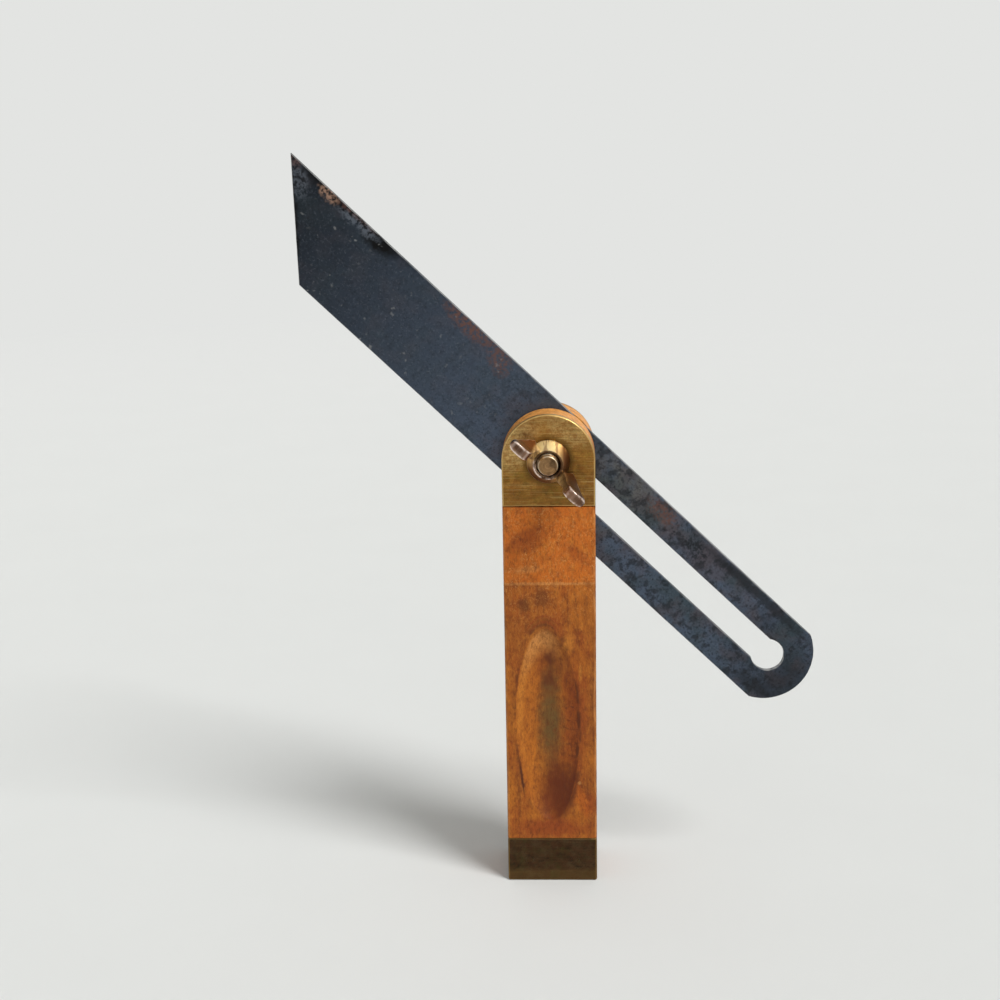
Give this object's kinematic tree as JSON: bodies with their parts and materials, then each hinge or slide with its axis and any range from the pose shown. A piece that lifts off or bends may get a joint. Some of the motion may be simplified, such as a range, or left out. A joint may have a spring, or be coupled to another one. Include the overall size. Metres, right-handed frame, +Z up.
{
  "type": "sliding bevel",
  "caption": "Woodworker's sliding bevel: slotted steel blade that swings and slides in a brass-plated wooden stock, clamped by a screw and wing nut.",
  "frame": {"origin": "centre of the flat butt face that the tool stands on", "axes": "+Z up the stock towards the blade's pivot, +X to the right seen from the wing nut's side, -Y towards the wing nut"},
  "size_m": [0.1419, 0.0392, 0.2053],
  "materials": {
    "stock_wood": "stained and varnished, worn",
    "brass": "aged, finely scratched",
    "tip_brass": "dark, tarnished",
    "screw_steel": "dull, darkened",
    "blued_steel": "blued, with a worn patina",
    "cast_brass": "cast, filed and worn"
  },
  "bodies": {
    "stock": {"stock": "stock_wood", "front_bolster": "brass", "rear_bolster": "brass", "butt_tip": "tip_brass", "front_plate_pin_1": "brass", "front_plate_pin_2": "brass", "front_plate_pin_3": "brass", "front_plate_pin_4": "brass", "rear_plate_pin_1": "brass", "rear_plate_pin_2": "brass", "rear_plate_pin_3": "brass", "rear_plate_pin_4": "brass", "butt_pin_1": "tip_brass", "butt_pin_2": "tip_brass"},
    "screw": {"clamp_screw": "screw_steel"},
    "blade": {"blade": "blued_steel"},
    "nut": {"wing_nut": "cast_brass"}
  },
  "joints": [
    {"name": "blade_swing", "type": "hinge", "parent": "stock", "child": "screw", "pos_m": [0, 0, 0.123], "axis": [0, 1, 0], "range_deg": [-118, 211]},
    {"name": "blade_slide", "type": "slide", "parent": "screw", "child": "blade", "axis": [0.7218, 0, -0.6921], "range_m": [-0.084, 0.003]},
    {"name": "nut_turn", "type": "hinge", "parent": "screw", "child": "nut", "pos_m": [0, 0, 0.123], "axis": [0, -1, 0], "range_deg": [0, 360]}
  ]
}
